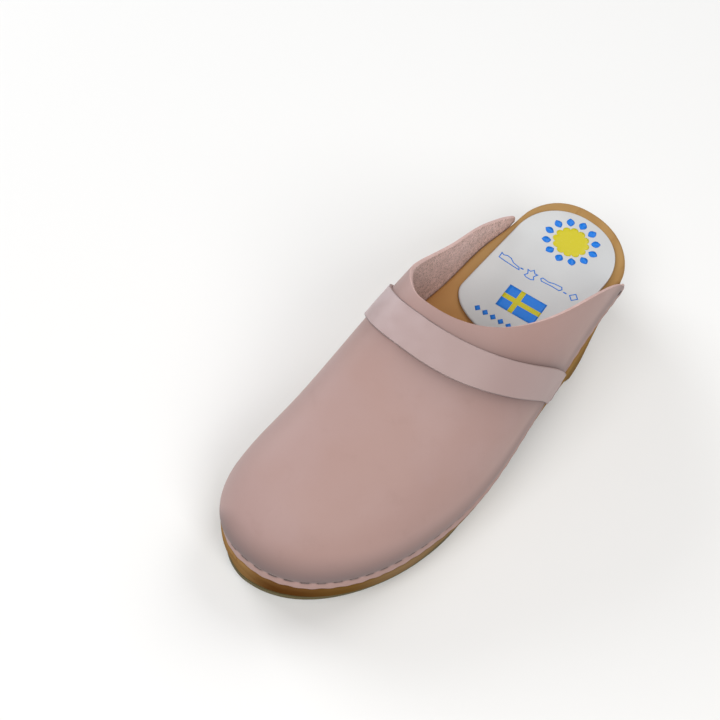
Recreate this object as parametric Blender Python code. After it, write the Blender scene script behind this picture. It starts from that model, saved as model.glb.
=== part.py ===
"""Left leather clog: wooden sole, two rubber treads, leather upper, instep strap and heel pad.

Sizes are in millimetres. A point is given as side (x, positive to the outer side of the foot), position
(from the back of the heel towards the toe) and height above the ground. Each mesh is made in metres, with
the toe towards -Y and the middle of the shoe over the origin.
"""

import bmesh
import bpy
import numpy as np

MM = 0.001
LENGTH = 258.0
GAP = 0.35
WELD = 0.02
STATION_SPACING = 6.0
SMOOTH_ANGLE = 35.0

# One row for each cross-section of the last. half_width and middle give the plan, and lip is the height of
# the leather's lower edge. proud and welt are how far the leather and the wood stand outside the plan there.
# knee and inset are how far the wood stands inside the plan part of the way down and at the ground. seat is
# the top edge of the wood, dish the hollow of the footbed, crest and crest_side the ridge of the instep.
COLUMNS = (
    "position", "half_width", "middle", "lip", "proud", "welt", "knee", "inset", "seat", "dish", "crest",
    "crest_side",
)
SECTIONS = (
    (0.0, 30.2, -6.0, 42.0, 4.2, 0.0, 2.5, 5.0, 47.0, 3.0, 155.0, -16.0),
    (34.0, 32.0, -2.4, 42.3, 2.0, 0.0, 2.0, 6.0, 46.8, 3.2, 149.0, -17.0),
    (60.0, 35.9, -2.0, 41.6, 0.3, 0.8, -0.8, 4.5, 47.0, 3.5, 139.0, -18.0),
    (90.0, 37.8, 0.2, 39.0, 0.4, 1.3, -0.8, 3.0, 45.2, 3.5, 124.0, -19.0),
    (120.0, 41.9, 0.7, 34.3, -0.3, -0.3, 2.4, 3.6, 40.8, 3.2, 108.5, -19.0),
    (150.0, 45.2, 1.2, 26.0, -0.3, -0.4, 3.4, 5.0, 32.6, 2.6, 94.0, -16.0),
    (180.0, 45.5, 0.2, 18.6, -0.4, 0.0, 1.4, 2.6, 25.2, 2.2, 77.5, -11.5),
    (205.0, 44.4, -2.2, 18.0, -1.2, 0.0, 0.8, 3.2, 24.6, 2.0, 65.0, -9.0),
    (230.0, 43.1, -6.0, 19.6, -0.7, 0.2, 0.6, 3.9, 26.2, 1.6, 57.0, -8.2),
    (258.0, 42.0, -11.0, 21.0, -0.4, 0.4, -0.2, 3.2, 27.4, 1.2, 49.5, -7.6),
)

# Rounded ends of the plan: where each starts, and the power of its curve
HEEL_ROUND, HEEL_POWER = 32.0, 2.15
TOE_ROUND, TOE_POWER = 196.0, 2.3

# Underside: flat under heel and ball, hollow at the waist, sprung at the toe
TREAD = 3.2
HEEL_FRONT, BREAST_TOP = 72.0, 85.0
WAIST_END, BALL_START = 98.0, 148.0
WAIST_RISE = 18.0
SPRING_START, SPRING, SPRING_POWER = 195.0, 4.5, 1.7
FOREPART_TREAD_START, HEEL_TREAD_END = 118.0, 70.0

# Flank of the wood: broken edges, a knee part of the way up, and the ledge that the leather stands on.
# The ledge starts behind the wings, and leans in under the toe. From the ball on, the ground is set in from
# the sides only, and the inner corner of the toe is cut back.
CHAMFER = 1.2
KNEE_HEIGHT = 0.45
LEDGE_START, LEDGE_FULL = 20.0, 27.0
BALL = 150.0
TOE_DRAFT, TOE_CUT = 0.8, 1.3
BED_COLUMNS, BED_POWER = 10, 3

# Leather upper: wall, fullness of its sections, ridge line of the toe and wings. The collar runs from its
# back, down at the lip, up to the throat, bowed towards the toe; a larger lean moves the bow down the side.
WALL = 2.6
SIDE_FULLNESS, TOE_FULLNESS, FULLNESS_POWER = 2.4, 3.0, 2
FAN_START, CREST_END = 155.0, 206.0
UPPER_ROWS, UPPER_COLUMNS, ROW_POWER, COLUMN_POWER = 13, 32, 1.3, 2.8
THROAT = 143.0
WING_TIP, WING_TAB = {1: 29.5, -1: 32.5}, 0.035
COLLAR_BACK = 27.0
COLLAR_BOW, COLLAR_LEAN = {1: 4.0, -1: 24.5}, {1: 1.0, -1: 1.5}

# Strap over the instep: positions of its back and front edges at each rim and on the ridge
STRAP_THICK, STRAP_ROWS = 1.6, 19
STRAP_RIDGE = (148.4, 163.4)
STRAP_RIM = {1: (91.0, 108.5), -1: (110.0, 128.0)}

# Heel pad: its ends, half width, and a middle line that leans to the outer side on the way to the toe
PAD_THICK = 1.4
PAD_BACK, PAD_FRONT = 6.5, 99.0
PAD_ROUND_BACK, PAD_ROUND_FRONT, PAD_POWER = 38.0, 85.0, 2.2
PAD_HALF, PAD_MIDDLE, PAD_LEAN = 27.0, -4.6, 0.035
PAD_COLUMNS, PAD_STATIONS = 8, 24
WOOD_EDGE = 3.0


def natural_spline(knots, values):
    """Natural cubic spline through a column of a table, as a function of position."""
    knots = np.asarray(knots)
    values = np.asarray(values)
    step = np.diff(knots)
    slope = np.diff(values) / step
    count = len(knots)
    matrix = np.eye(count)
    right = np.zeros(count)
    for row in range(1, count - 1):
        matrix[row, row - 1 : row + 2] = step[row - 1], 2 * (step[row - 1] + step[row]), step[row]
        right[row] = 6 * (slope[row] - slope[row - 1])
    bend = np.linalg.solve(matrix, right)

    def value(position):
        span = np.clip(np.searchsorted(knots, position) - 1, 0, count - 2)
        width = step[span]
        ahead = (position - knots[span]) / width
        behind = 1 - ahead
        curve = (behind**3 - behind) * bend[span] + (ahead**3 - ahead) * bend[span + 1]
        return behind * values[span] + ahead * values[span + 1] + curve * width**2 / 6

    return value


TABLE = np.array(SECTIONS)
SIZE = {name: natural_spline(TABLE[:, 0], TABLE[:, column]) for column, name in enumerate(COLUMNS)}


def ease(start, end, value):
    """0 before start, 1 after end, and an S-curve between them."""
    share = np.clip((value - start) / (end - start), 0, 1)
    return share * share * (3 - 2 * share)


def round_end(distance, radius, power):
    """Width of a rounded end as a share of the full width, at a distance from its tip."""
    short = np.clip(1 - distance / radius, 0, 1)
    return (1 - short**power) ** (1 / power)


def end_share(position):
    heel = round_end(position, HEEL_ROUND, HEEL_POWER)
    toe = round_end(LENGTH - position, LENGTH - TOE_ROUND, TOE_POWER)
    return heel * toe


def plan_outline():
    """Plan of the shoe for each side: side, position, outward normal and length along the edge."""
    position = LENGTH * (1 - np.cos(np.linspace(0, np.pi, 601))) / 2
    half = SIZE["half_width"](position) * end_share(position)
    middle = SIZE["middle"](position)
    loop = np.concatenate([
        np.stack([middle + half, position], 1),
        np.stack([middle - half, position], 1)[-2:0:-1],
    ])
    tangent = np.roll(loop, -1, axis=0) - np.roll(loop, 1, axis=0)
    tangent /= np.linalg.norm(tangent, axis=1)[:, None]
    normal = np.stack([tangent[:, 1], -tangent[:, 0]], 1)
    count = len(position)
    back_again = np.concatenate([[0], np.arange(len(loop) - 1, count - 2, -1)])
    edges = {}
    for side, order in ((1, np.arange(count)), (-1, back_again)):
        walk = np.linalg.norm(np.diff(loop[order], axis=0), axis=1)
        length = np.concatenate([[0], np.cumsum(walk)])
        edges[side] = {
            "side": loop[order, 0],
            "position": loop[order, 1],
            "normal_side": normal[order, 0],
            "normal_position": normal[order, 1],
            "along": length / length[-1],
            "length": length[-1],
        }
    return edges


EDGES = plan_outline()


def edge_at(side, key, value, column):
    """Reads a column of the plan's edge where the column key has the given value."""
    return np.interp(value, EDGES[side][key], EDGES[side][column])


def flank(side, position, inward, height):
    """Points beside the plan's edge: at a position, moved inward square to the edge, at a height."""
    across = edge_at(side, "position", position, "side")
    across = across - inward * edge_at(side, "position", position, "normal_side")
    length = position - inward * edge_at(side, "position", position, "normal_position")
    return np.stack([across, length, height], 1)


def toe_cut(side, position):
    """How far the wood is cut back at the inner corner of the toe."""
    across = edge_at(side, "position", position, "normal_side")
    ahead = edge_at(side, "position", position, "normal_position")
    return np.where((side < 0) & (position > BALL), 2 * TOE_CUT * np.abs(across * ahead), 0)


def ground_inset(side, position):
    """How far the wood and the treads stand inside the plan at the ground."""
    square = np.abs(edge_at(side, "position", position, "normal_side"))
    return SIZE["inset"](position) * np.where(position > BALL, square, 1) + toe_cut(side, position)


def underside(position):
    """Height of the bottom of the wood."""
    waist = ease(HEEL_FRONT, BREAST_TOP, position) * (1 - ease(WAIST_END, BALL_START, position))
    toe = np.clip((position - SPRING_START) / (LENGTH - SPRING_START), 0, 1)
    return TREAD + GAP + WAIST_RISE * waist + SPRING * toe**SPRING_POWER


def footbed_drop(position, share):
    """Depth of the dished footbed; share runs from -1 to 1 across it."""
    return SIZE["dish"](position) * end_share(position) ** 2 * (1 - np.abs(share) ** BED_POWER)


def make_object(name, mesh, colour, roughness):
    bmesh.ops.remove_doubles(mesh, verts=mesh.verts, dist=WELD * MM)
    bmesh.ops.recalc_face_normals(mesh, faces=mesh.faces)
    data = bpy.data.meshes.new(name)
    mesh.to_mesh(data)
    mesh.free()
    data.shade_smooth()
    data.set_sharp_from_angle(angle=np.radians(SMOOTH_ANGLE))
    finish = bpy.data.materials.new(name)
    finish.use_nodes = True
    shader = finish.node_tree.nodes["Principled BSDF"]
    shader.inputs["Base Color"].default_value = (*colour, 1)
    shader.inputs["Roughness"].default_value = roughness
    shader.inputs["Metallic"].default_value = 0.0
    data.materials.append(finish)
    piece = bpy.data.objects.new(name, data)
    bpy.context.scene.collection.objects.link(piece)
    return piece


def place(mesh, points):
    """Vertices for an array of side, position and height."""
    return [mesh.verts.new((x * MM, (LENGTH / 2 - u) * MM, z * MM)) for x, u, z in points]


def skin(mesh, rows, closed):
    """Quads between rows of vertices; closed joins the last vertex of each row to its first."""
    start = 0 if closed else 1
    for row, ahead in zip(rows, rows[1:]):
        for k in range(start, len(row)):
            mesh.faces.new((row[k - 1], row[k], ahead[k], ahead[k - 1]))


def loft(name, loops, filled, colour, roughness):
    """Solid through closed loops; filled says which end loops are faces. The others have shrunk to a line."""
    mesh = bmesh.new()
    rows = [place(mesh, loop) for loop in loops]
    skin(mesh, rows, closed=True)
    for row in filled:
        mesh.faces.new(rows[row])
    return make_object(name, mesh, colour, roughness)


def stations(start, end):
    """Positions from start to end, crowded where the plan's ends are rounded."""
    turn = np.arccos(1 - 2 * np.array([start, end]) / LENGTH)
    count = int(round((end - start) / STATION_SPACING))
    return LENGTH * (1 - np.cos(np.linspace(turn[0], turn[1], count + 1))) / 2


def wooden_sole():
    """One block of wood: heel, waist and ball below, a ledge for the leather, and a dished top."""
    breast = np.linspace(HEEL_FRONT, BREAST_TOP, 6)
    along = np.unique(np.concatenate([stations(0, LENGTH), breast]))
    lip = SIZE["lip"](along)
    seat = SIZE["seat"](along)
    bottom = underside(along)
    under_leather = ease(LEDGE_START, LEDGE_FULL, along)
    ledge = np.maximum(WALL + GAP - SIZE["proud"](along), 0) * under_leather
    draft = TOE_DRAFT * ease(FAN_START, LENGTH, along)
    rings = {}
    for side in (1, -1):
        inset = ground_inset(side, along)
        cut = toe_cut(side, along)
        profile = (
            (inset + CHAMFER, bottom),
            (inset, bottom + CHAMFER),
            (SIZE["knee"](along) + cut, bottom + KNEE_HEIGHT * (lip - bottom)),
            (cut - SIZE["welt"](along), lip - GAP - CHAMFER),
            (ledge, lip - GAP),
            (ledge + draft, seat - CHAMFER),
            (ledge + draft + CHAMFER, seat),
        )
        rings[side] = [flank(side, along, inward, height) for inward, height in profile]
    bed = []
    for share in np.linspace(1, -1, BED_COLUMNS + 1)[1:-1]:
        row = rings[1][-1] * (1 + share) / 2 + rings[-1][-1] * (1 - share) / 2
        row[:, 2] -= footbed_drop(along, share)
        bed.append(row)
    columns = np.stack(rings[1] + bed + rings[-1][::-1], 1)
    return loft("wooden_sole", columns, (), (0.42, 0.25, 0.10), 0.45)


def tread(name, start, end, filled):
    """Flat rubber plate under the wood, from start to end."""
    along = stations(start, end)
    top = underside(along) - GAP
    corners = [(1, top), (1, top - TREAD), (-1, top - TREAD), (-1, top)]
    columns = [flank(side, along, ground_inset(side, along), height) for side, height in corners]
    return loft(name, np.stack(columns, 1), filled, (0.36, 0.33, 0.26), 0.7)


def heel_pad():
    """Thin pad on the heel seat, round at both ends."""
    span = PAD_FRONT - PAD_BACK
    along = PAD_BACK + span * (1 - np.cos(np.linspace(0, np.pi, PAD_STATIONS + 1))) / 2
    back = round_end(along - PAD_BACK, PAD_ROUND_BACK - PAD_BACK, PAD_POWER)
    front = round_end(PAD_FRONT - along, PAD_FRONT - PAD_ROUND_FRONT, PAD_POWER)
    wood_half = np.maximum(SIZE["half_width"](along) * end_share(along) - WOOD_EDGE, 1)
    top, bottom = [], []
    for share in np.linspace(1, -1, PAD_COLUMNS + 1):
        across = PAD_MIDDLE + PAD_LEAN * along + share * PAD_HALF * back * front
        bed_share = np.clip((across - SIZE["middle"](along)) / wood_half, -1, 1)
        bed = SIZE["seat"](along) - footbed_drop(along, bed_share)
        bottom.append(np.stack([across, along, bed + GAP], 1))
        top.append(np.stack([across, along, bed + GAP + PAD_THICK], 1))
    columns = np.stack(top + bottom[::-1], 1)
    return loft("heel_pad", columns, (), (0.62, 0.63, 0.65), 0.5)


def ridge_line(side, along):
    """Position on the ridge that a section from the rim runs to, and how far into the toe's fan it is."""
    fan = edge_at(side, "position", FAN_START, "along")
    share = np.clip((along - fan) / (1 - fan), 0, 1)
    power = (1 - fan) * EDGES[side]["length"] / (CREST_END - FAN_START)
    fanned = FAN_START + (CREST_END - FAN_START) * (1 - (1 - share) ** power)
    return np.where(along < fan, edge_at(side, "along", along, "position"), fanned), share


def rim_of_ridge(side, ridge):
    """Where on the rim the section to a position on the ridge starts."""
    along = np.linspace(0, 1, 4001)
    return np.interp(ridge, ridge_line(side, along)[0], along)


def leather_face(side, along, turn):
    """Outer face of the upper. along runs from heel to toe on the rim, turn from the lip to the ridge."""
    rim_position = edge_at(side, "along", along, "position")
    proud = SIZE["proud"](rim_position)
    across = edge_at(side, "along", along, "side") + proud * edge_at(side, "along", along, "normal_side")
    position = rim_position + proud * edge_at(side, "along", along, "normal_position")
    ridge, share = ridge_line(side, along)
    fullness = SIDE_FULLNESS + (TOE_FULLNESS - SIDE_FULLNESS) * share**FULLNESS_POWER
    inward = 1 - np.cos(turn) ** (2 / fullness)
    upward = np.sin(turn) ** (2 / fullness)
    across = across + (SIZE["crest_side"](ridge) - across) * inward
    position = position + (ridge - position) * inward
    lip = SIZE["lip"](rim_position)
    return np.stack([across, position, lip + (SIZE["crest"](position) - lip) * upward], -1)


def leather_offset(side, along, turn, distance):
    """Points at a distance outside the upper, square to its face."""
    small = 0.002
    inner_turn = np.clip(turn, 2 * small, np.pi / 2 - small)
    ahead = leather_face(side, along + small, inner_turn) - leather_face(side, along - small, inner_turn)
    above = leather_face(side, along, inner_turn + small) - leather_face(side, along, inner_turn - small)
    normal = np.cross(ahead, above) * side
    normal /= np.linalg.norm(normal, axis=-1, keepdims=True)
    return leather_face(side, along, turn) + distance * normal


def collar(side, share):
    """Position of the collar's edge at a share of the way from the lip up to the ridge."""
    lean = COLLAR_LEAN[side]
    fullest = 1 / (1 + lean)
    bow = share * (1 - share) ** lean / (fullest * (1 - fullest) ** lean)
    return COLLAR_BACK + (THROAT - COLLAR_BACK) * share + COLLAR_BOW[side] * bow


def upper():
    """One piece of leather over the foot, open underneath and at the back, with two wings."""
    turns = np.pi / 2 * np.linspace(0, 1, UPPER_ROWS + 1) ** ROW_POWER
    to_go = np.linspace(1, 0, UPPER_COLUMNS + 1)
    ridge = CREST_END - (CREST_END - THROAT) * to_go**COLUMN_POWER
    mesh = bmesh.new()
    for side in (1, -1):
        rim = rim_of_ridge(side, ridge)
        shares = (rim - rim[0]) / (1 - rim[0])
        rows = []
        for turn in turns:
            share = np.sin(turn)
            back_edge = WING_TIP[side] if share < WING_TAB else collar(side, share)
            start = edge_at(side, "position", back_edge, "along")
            along = start + (1 - start) * shares
            rows.append(place(mesh, leather_face(side, along, np.full_like(along, turn))))
        skin(mesh, rows, closed=False)
    piece = make_object("upper", mesh, (0.46, 0.31, 0.29), 0.6)
    wall = piece.modifiers.new("wall", "SOLIDIFY")
    wall.thickness = WALL * MM
    wall.offset = -1
    wall.use_even_offset = True
    return piece


def strap():
    """Leather band over the instep, close to the upper, from rim to rim."""
    turns = np.pi / 2 * np.linspace(0, 1, STRAP_ROWS + 1) ** ROW_POWER
    loops = []
    for side in (1, -1):
        walk = turns if side == 1 else turns[-2::-1]
        corners = []
        for edge, distance in ((0, 0), (1, 0), (1, 1), (0, 1)):
            rim, ridge = STRAP_RIM[side][edge], STRAP_RIDGE[edge]
            position = rim + (ridge - rim) * np.sin(walk)
            along = edge_at(side, "position", position, "along")
            corners.append(leather_offset(side, along, walk, GAP + distance * STRAP_THICK))
        loops.append(np.stack(corners, 1))
    return loft("strap", np.concatenate(loops), (0, -1), (0.50, 0.37, 0.36), 0.55)


for old in list(bpy.data.objects):
    bpy.data.objects.remove(old)
wooden_sole()
tread("forepart_tread", FOREPART_TREAD_START, LENGTH, (0,))
tread("heel_tread", 0.0, HEEL_TREAD_END, (-1,))
upper()
strap()
heel_pad()
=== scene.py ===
import math

import bmesh
import bpy
import numpy as np
from mathutils import Matrix, Vector


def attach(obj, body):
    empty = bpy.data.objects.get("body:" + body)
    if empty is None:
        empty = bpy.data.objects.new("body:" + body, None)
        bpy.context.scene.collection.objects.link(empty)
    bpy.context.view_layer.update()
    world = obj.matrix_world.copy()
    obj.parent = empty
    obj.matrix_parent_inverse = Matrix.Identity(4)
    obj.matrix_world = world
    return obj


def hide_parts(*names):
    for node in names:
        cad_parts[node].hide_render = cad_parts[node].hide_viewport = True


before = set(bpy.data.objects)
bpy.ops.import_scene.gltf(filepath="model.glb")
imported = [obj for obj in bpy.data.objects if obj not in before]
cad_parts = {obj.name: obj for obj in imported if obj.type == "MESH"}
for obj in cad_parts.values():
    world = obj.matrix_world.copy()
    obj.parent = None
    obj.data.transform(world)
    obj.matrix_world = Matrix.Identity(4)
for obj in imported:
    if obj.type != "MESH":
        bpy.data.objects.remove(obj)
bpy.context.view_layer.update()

# Wooden sole: one block of light wood, carved with a block heel, a hollow waist and a dished footbed,
# then stained honey and varnished. The leather stands on a ledge that runs round its upper edge.
# Sizes are in millimetres; the sections of the last run from heel to toe.
MM = 0.001
GAP = 0.35
LENGTH = 258.0
COLUMNS = (
    "position", "half_width", "middle", "lip", "proud", "welt", "knee", "inset", "seat", "dish", "crest",
    "crest_side",
)
SECTIONS = (
    (0.0, 30.2, -6.0, 42.0, 4.2, 0.0, 2.5, 5.0, 47.0, 3.0, 155.0, -16.0),
    (34.0, 32.0, -2.4, 42.3, 2.0, 0.0, 2.0, 6.0, 46.8, 3.2, 149.0, -17.0),
    (60.0, 35.9, -2.0, 41.6, 0.3, 0.8, -0.8, 4.5, 47.0, 3.5, 139.0, -18.0),
    (90.0, 37.8, 0.2, 39.0, 0.4, 1.3, -0.8, 3.0, 45.2, 3.5, 124.0, -19.0),
    (120.0, 41.9, 0.7, 34.3, -0.3, -0.3, 2.4, 3.6, 40.8, 3.2, 108.5, -19.0),
    (150.0, 45.2, 1.2, 26.0, -0.3, -0.4, 3.4, 5.0, 32.6, 2.6, 94.0, -16.0),
    (180.0, 45.5, 0.2, 18.6, -0.4, 0.0, 1.4, 2.6, 25.2, 2.2, 77.5, -11.5),
    (205.0, 44.4, -2.2, 18.0, -1.2, 0.0, 0.8, 3.2, 24.6, 2.0, 65.0, -9.0),
    (230.0, 43.1, -6.0, 19.6, -0.7, 0.2, 0.6, 3.9, 26.2, 1.6, 57.0, -8.2),
    (258.0, 42.0, -11.0, 21.0, -0.4, 0.4, -0.2, 3.2, 27.4, 1.2, 49.5, -7.6),
)
HEEL_ROUND, HEEL_POWER = 32.0, 2.15
TOE_ROUND, TOE_POWER = 196.0, 2.3
TREAD = 3.2
HEEL_FRONT, BREAST_TOP = 72.0, 85.0
WAIST_END, BALL_START = 98.0, 148.0
WAIST_RISE = 18.0
SPRING_START, SPRING, SPRING_POWER = 195.0, 4.5, 1.7
KNEE_HEIGHT, BALL = 0.45, 150.0
LEDGE_START, LEDGE_FULL, LEDGE_ROUND = 20.0, 27.0, 2.0
TOE_DRAFT, TOE_CUT, FAN_START = 0.8, 1.3, 155.0
BED_COLUMNS, BED_POWER = 30, 3
WALL = 2.6
FOOT_ROUND, WOOD_ROUND, WOOD_ARC = 1.0, 2.0, 5
PLAN_POINTS, WOOD_STATIONS, BREAST_STATIONS, FLANK_ROWS = 601, 170, 12, 12
WELD = 0.02


def natural_spline(knots, values):
    """Natural cubic spline through a column of the table of sections, as a function of position."""
    step = np.diff(knots)
    slope = np.diff(values) / step
    count = len(knots)
    matrix = np.eye(count)
    right = np.zeros(count)
    for row in range(1, count - 1):
        matrix[row, row - 1 : row + 2] = step[row - 1], 2 * (step[row - 1] + step[row]), step[row]
        right[row] = 6 * (slope[row] - slope[row - 1])
    bend = np.linalg.solve(matrix, right)

    def value(position):
        span = np.clip(np.searchsorted(knots, position) - 1, 0, count - 2)
        width = step[span]
        ahead = (position - knots[span]) / width
        behind = 1 - ahead
        curve = (behind**3 - behind) * bend[span] + (ahead**3 - ahead) * bend[span + 1]
        return behind * values[span] + ahead * values[span + 1] + curve * width**2 / 6

    return value


TABLE = np.array(SECTIONS)
SIZE = {name: natural_spline(TABLE[:, 0], TABLE[:, column]) for column, name in enumerate(COLUMNS)}


def ease(start, end, value):
    """0 before start, 1 after end, and an S-curve between them."""
    share = np.clip((value - start) / (end - start), 0, 1)
    return share * share * (3 - 2 * share)


def round_end(distance, radius, power):
    """Width of a rounded end as a share of the full width, at a distance from its tip."""
    short = np.clip(1 - distance / radius, 0, 1)
    return (1 - short**power) ** (1 / power)


def end_share(position):
    """Share of the full width that the rounded heel and toe leave at a position."""
    heel = round_end(position, HEEL_ROUND, HEEL_POWER)
    toe = round_end(LENGTH - position, LENGTH - TOE_ROUND, TOE_POWER)
    return heel * toe


def plan_outline():
    """Plan of the shoe for each side: side, position, outward normal and length along the edge."""
    position = LENGTH * (1 - np.cos(np.linspace(0, np.pi, PLAN_POINTS))) / 2
    half = SIZE["half_width"](position) * end_share(position)
    middle = SIZE["middle"](position)
    loop = np.concatenate([
        np.stack([middle + half, position], 1),
        np.stack([middle - half, position], 1)[-2:0:-1],
    ])
    tangent = np.roll(loop, -1, axis=0) - np.roll(loop, 1, axis=0)
    tangent /= np.linalg.norm(tangent, axis=1)[:, None]
    normal = np.stack([tangent[:, 1], -tangent[:, 0]], 1)
    count = len(position)
    back_again = np.concatenate([[0], np.arange(len(loop) - 1, count - 2, -1)])
    edges = {}
    for side, order in ((1, np.arange(count)), (-1, back_again)):
        walk = np.linalg.norm(np.diff(loop[order], axis=0), axis=1)
        length = np.concatenate([[0], np.cumsum(walk)])
        edges[side] = {
            "side": loop[order, 0],
            "position": loop[order, 1],
            "normal_side": normal[order, 0],
            "normal_position": normal[order, 1],
            "along": length / length[-1],
            "length": length[-1],
        }
    return edges


EDGES = plan_outline()


def edge_at(side, key, value, column):
    """Reads a column of the plan's edge where the column key has the given value."""
    return np.interp(value, EDGES[side][key], EDGES[side][column])


def flank(side, position, inward, height):
    """Points beside the plan's edge: at a position, moved inward square to the edge, at a height."""
    across = edge_at(side, "position", position, "side")
    across = across - inward * edge_at(side, "position", position, "normal_side")
    length = position - inward * edge_at(side, "position", position, "normal_position")
    return np.stack([across, length, height], 1)


def toe_cut(side, position):
    """How far the wood is cut back at the inner corner of the toe."""
    across = edge_at(side, "position", position, "normal_side")
    ahead = edge_at(side, "position", position, "normal_position")
    return np.where((side < 0) & (position > BALL), 2 * TOE_CUT * np.abs(across * ahead), 0)


def ground_inset(side, position):
    """How far the wood and the treads stand inside the plan at the ground."""
    square = np.abs(edge_at(side, "position", position, "normal_side"))
    return SIZE["inset"](position) * np.where(position > BALL, square, 1) + toe_cut(side, position)


def underside(position):
    """Height of the bottom of the wood."""
    waist = ease(HEEL_FRONT, BREAST_TOP, position) * (1 - ease(WAIST_END, BALL_START, position))
    toe = np.clip((position - SPRING_START) / (LENGTH - SPRING_START), 0, 1)
    return TREAD + GAP + WAIST_RISE * waist + SPRING * toe**SPRING_POWER


def footbed_drop(position, share):
    """Depth of the dished footbed; share runs from -1 to 1 across it."""
    return SIZE["dish"](position) * end_share(position) ** 2 * (1 - np.abs(share) ** BED_POWER)


def stations(start, end, count):
    """Positions from start to end, crowded where the plan's ends are rounded."""
    turn = np.arccos(1 - 2 * np.array([start, end]) / LENGTH)
    return LENGTH * (1 - np.cos(np.linspace(turn[0], turn[1], count + 1))) / 2


def grid_through(mesh, points, weights=None, painted_shade=None):
    """Adds a grid whose vertices lie at a table of points: side, position and height in millimetres."""
    group = mesh.verts.layers.deform.verify()
    dark = mesh.verts.layers.float.get("painted_shade") or mesh.verts.layers.float.new("painted_shade")
    columns, rows = points.shape[0] - 1, points.shape[1] - 1
    grid = bmesh.ops.create_grid(mesh, x_segments=columns, y_segments=rows, size=0.5)["verts"]
    for vertex in grid:
        column = round((vertex.co.x + 0.5) * columns)
        row = round((vertex.co.y + 0.5) * rows)
        x, u, z = points[column, row]
        vertex.co = x * MM, (LENGTH / 2 - u) * MM, z * MM
        if weights is not None:
            vertex[group][0] = weights[column, row]
        if painted_shade is not None:
            vertex[dark] = painted_shade[column, row]


def close_up(mesh, distance=WELD):
    """Merges vertices that lie together, and turns all faces outwards."""
    bmesh.ops.remove_doubles(mesh, verts=mesh.verts, dist=distance * MM)
    bmesh.ops.dissolve_degenerate(mesh, edges=mesh.edges, dist=distance * MM / 4)
    bmesh.ops.recalc_face_normals(mesh, faces=mesh.faces)


def new_piece(name, mesh, *finishes):
    """Makes the mesh a smooth object at the origin, with its finishes in slots."""
    data = bpy.data.meshes.new(name)
    mesh.to_mesh(data)
    mesh.free()
    data.shade_smooth()
    for finish in finishes:
        data.materials.append(finish.material)
    piece = bpy.data.objects.new(name, data)
    bpy.context.scene.collection.objects.link(piece)
    return piece


class Value:
    """One shader value. Maths on it adds a Math node and gives the result as a new value."""

    def __init__(self, finish, socket):
        self.finish = finish
        self.socket = socket

    def maths(self, operation, first, second=0.0):
        return self.finish.node("ShaderNodeMath", {"operation": operation}, {0: first, 1: second})

    def __add__(self, other):
        return self.maths("ADD", self, other)

    def __sub__(self, other):
        return self.maths("SUBTRACT", self, other)

    def __rsub__(self, other):
        return self.maths("SUBTRACT", other, self)

    def __mul__(self, other):
        return self.maths("MULTIPLY", self, other)

    def __pow__(self, other):
        return self.maths("POWER", self, other)

    def sine(self):
        return self.maths("SINE", self)

    __radd__ = __add__
    __rmul__ = __mul__


class Finish:
    """A procedural material, made of the nodes that its methods add."""

    def __init__(self, name, constants):
        self.material = bpy.data.materials.new(name)
        self.material.use_nodes = True
        self.tree = self.material.node_tree
        self.shader = self.tree.nodes["Principled BSDF"]
        self.feed(self.shader, constants)
        self.place = self.node("ShaderNodeTexCoord", output="Object")

    def feed(self, node, sockets):
        """Sets each socket of a node to a constant, or links a value to it."""
        for key, value in sockets.items():
            if isinstance(value, Value):
                self.tree.links.new(value.socket, node.inputs[key])
            else:
                node.inputs[key].default_value = value

    def node(self, kind, settings=None, sockets=None, output=0):
        """Adds a node: its type, its settings, then constants or values for its sockets."""
        node = self.tree.nodes.new(kind)
        for key, value in (settings or {}).items():
            setattr(node, key, value)
        self.feed(node, sockets or {})
        return Value(self, node.outputs[output])

    def stretched(self, scale):
        """The piece's own coordinates, stretched."""
        return self.node("ShaderNodeMapping", None, {"Vector": self.place, "Scale": scale})

    def noise(self, scale, detail=2.0, roughness=0.5, vector=None):
        sockets = {"Vector": vector or self.place, "Scale": scale, "Detail": detail, "Roughness": roughness}
        return self.node("ShaderNodeTexNoise", None, sockets)

    def cells(self, scale):
        """Rounded cells: 0 in the middle of each, and higher towards its borders."""
        sockets = {"Vector": self.place, "Scale": scale}
        return self.node("ShaderNodeTexVoronoi", {"feature": "SMOOTH_F1"}, sockets, "Distance")

    def step(self, value, start, end):
        """0 where the value is below start, 1 above end, and a soft change between."""
        sockets = {"Value": value, "From Min": start, "From Max": end}
        return self.node("ShaderNodeMapRange", {"interpolation_type": "SMOOTHSTEP"}, sockets)

    def mix(self, factor, first, second):
        """Colour between the first, at a factor of 0, and the second."""
        colours = [c if isinstance(c, Value) else (*c, 1.0) for c in (first, second)]
        sockets = {0: factor, 6: colours[0], 7: colours[1]}
        return self.node("ShaderNodeMix", {"data_type": "RGBA"}, sockets, 2)

    def bump(self, height, distance, strength=1.0, normal=None):
        sockets = {"Height": height, "Distance": distance * MM, "Strength": strength}
        if normal:
            sockets["Normal"] = normal
        return self.node("ShaderNodeBump", None, sockets)

    def surface(self, **sockets):
        """Feeds the shader: colour, roughness, coat and normal."""
        names = {"colour": "Base Color", "roughness": "Roughness", "coat": "Coat Weight", "normal": "Normal"}
        self.feed(self.shader, {names[key]: value for key, value in sockets.items()})
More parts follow.
